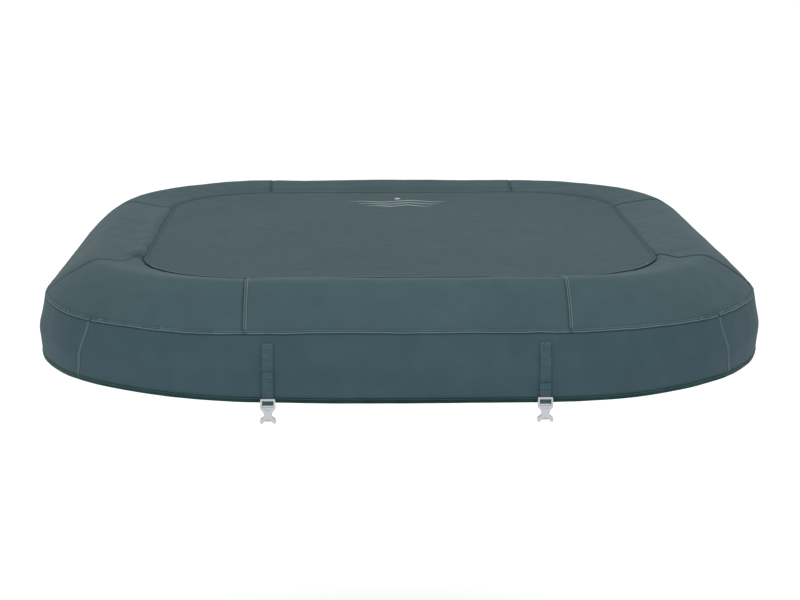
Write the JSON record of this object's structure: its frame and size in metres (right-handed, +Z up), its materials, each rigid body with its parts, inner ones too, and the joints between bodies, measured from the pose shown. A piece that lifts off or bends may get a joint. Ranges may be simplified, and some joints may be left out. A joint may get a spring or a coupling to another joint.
{
  "type": "spa cover",
  "caption": "Square lay-over cover with round corners for an inflatable spa, with a zipped air liner, hanging skirt, and webbing straps with side-release buckles.",
  "frame": {"origin": "centre of the flat underside of the insulated pocket, where the cover rests on the spa's water side", "axes": "+Z up, the front skirt faces -Y, +X to the right seen from the front"},
  "size_m": [1.7986, 1.8184, 0.2928],
  "materials": {
    "cover_fabric": "satin",
    "binding_tape": "matte",
    "webbing": "matte",
    "buckle_plastic": "satin",
    "liner_sheet": "gloss",
    "valve_plastic": "satin",
    "valve_rubber": "matte",
    "zip_cloth": "matte",
    "zip_teeth": "satin",
    "zip_metal": "satin"
  },
  "bodies": {
    "cover": {"rim_panel_front": "cover_fabric", "rim_panel_right": "cover_fabric", "rim_panel_back": "cover_fabric", "rim_panel_left": "cover_fabric", "rim_corner_front_right": "cover_fabric", "rim_corner_back_right": "cover_fabric", "rim_corner_back_left": "cover_fabric", "rim_corner_front_left": "cover_fabric", "skirt_front": "cover_fabric", "skirt_right": "cover_fabric", "skirt_back": "cover_fabric", "skirt_left": "cover_fabric", "centre_panel": "cover_fabric", "pocket_gusset": "cover_fabric", "underside_panel": "cover_fabric", "underside_front_strip": "cover_fabric", "hem_binding": "binding_tape", "strap_tabs": "webbing", "liner_top_sheet": "liner_sheet", "liner_bottom_sheet": "liner_sheet", "liner_side_band": "liner_sheet", "liner_webs": "liner_sheet", "valve_body": "valve_plastic", "valve_seal": "valve_rubber", "zip_tape_front": "zip_cloth", "zip_tape_rear": "zip_cloth", "zip_coil_front": "zip_teeth", "zip_coil_rear": "zip_teeth", "zip_end_stops": "zip_metal"},
    "strap_front_left": {"strap_front_left": "webbing"},
    "strap_front_right": {"strap_front_right": "webbing"},
    "strap_back_left": {"strap_back_left": "webbing"},
    "strap_back_right": {"strap_back_right": "webbing"},
    "buckle_front_left": {"buckle_front_left": "buckle_plastic"},
    "buckle_front_right": {"buckle_front_right": "buckle_plastic"},
    "buckle_back_left": {"buckle_back_left": "buckle_plastic"},
    "buckle_back_right": {"buckle_back_right": "buckle_plastic"},
    "valve_cap": {"valve_cap": "valve_plastic"},
    "zip_slider": {"zip_slider": "zip_metal"},
    "zip_pull": {"zip_pull": "zip_metal"}
  },
  "joints": [
    {"name": "strap_swing_front_left", "type": "hinge", "parent": "cover", "child": "strap_front_left", "pos_m": [-0.31, -0.88883, -0.024], "axis": [-1, 0, 0], "range_deg": [0, 140]},
    {"name": "buckle_tilt_front_left", "type": "hinge", "parent": "strap_front_left", "child": "buckle_front_left", "pos_m": [-0.31, -0.9044, -0.145], "axis": [1, 0, 0], "range_deg": [0, 25]},
    {"name": "strap_swing_front_right", "type": "hinge", "parent": "cover", "child": "strap_front_right", "pos_m": [0.31, -0.88883, -0.024], "axis": [-1, 0, 0], "range_deg": [0, 140]},
    {"name": "buckle_tilt_front_right", "type": "hinge", "parent": "strap_front_right", "child": "buckle_front_right", "pos_m": [0.31, -0.9044, -0.145], "axis": [1, 0, 0], "range_deg": [0, 25]},
    {"name": "strap_swing_back_left", "type": "hinge", "parent": "cover", "child": "strap_back_left", "pos_m": [0.31, 0.88883, -0.024], "axis": [1, 0, 0], "range_deg": [0, 140]},
    {"name": "buckle_tilt_back_left", "type": "hinge", "parent": "strap_back_left", "child": "buckle_back_left", "pos_m": [0.31, 0.9044, -0.145], "axis": [-1, 0, 0], "range_deg": [0, 25]},
    {"name": "strap_swing_back_right", "type": "hinge", "parent": "cover", "child": "strap_back_right", "pos_m": [-0.31, 0.88883, -0.024], "axis": [1, 0, 0], "range_deg": [0, 140]},
    {"name": "buckle_tilt_back_right", "type": "hinge", "parent": "strap_back_right", "child": "buckle_back_right", "pos_m": [-0.31, 0.9044, -0.145], "axis": [-1, 0, 0], "range_deg": [0, 25]},
    {"name": "zip_slide", "type": "slide", "parent": "cover", "child": "zip_slider", "axis": [-1, 0, 0], "range_m": [0, 0.876]},
    {"name": "zip_pull_flip", "type": "hinge", "parent": "zip_slider", "child": "zip_pull", "pos_m": [0.438, -0.5, -0.0046], "axis": [0, 1, 0], "range_deg": [-85, 85]},
    {"name": "valve_cap_turn", "type": "hinge", "parent": "cover", "child": "valve_cap", "pos_m": [0.3, -0.6, 0.046], "axis": [0, -1, 0], "range_deg": [0, 360]}
  ]
}
